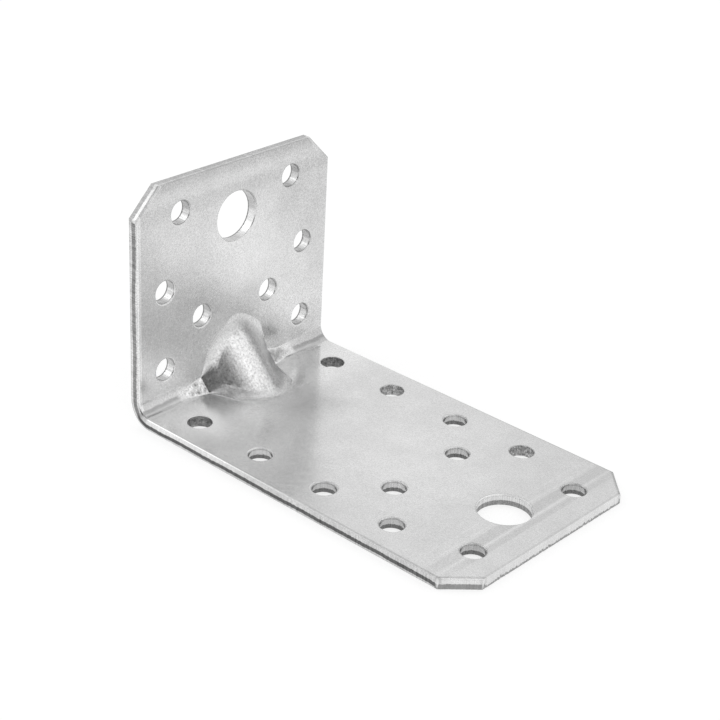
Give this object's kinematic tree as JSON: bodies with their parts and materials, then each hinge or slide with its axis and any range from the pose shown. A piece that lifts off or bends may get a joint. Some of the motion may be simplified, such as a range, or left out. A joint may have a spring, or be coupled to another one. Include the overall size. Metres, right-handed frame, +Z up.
{
  "type": "reinforced angle bracket",
  "caption": "Heavy right-angle bracket folded from galvanised sheet, with a pressed stiffening rib in the fold and nail and bolt holes in both legs.",
  "frame": {"origin": "centre of the footprint, on the underside of the lying leg", "axes": "+X along the lying leg, away from the standing leg; +Y along the fold; +Z up the standing leg"},
  "size_m": [0.09, 0.055, 0.052],
  "materials": {
    "galvanised_steel": "hot-dip galvanised sheet, satin with a fine mottled grain, sheared edges duller"
  },
  "bodies": {
    "root": {"angle_bracket": "galvanised_steel"}
  },
  "joints": []
}
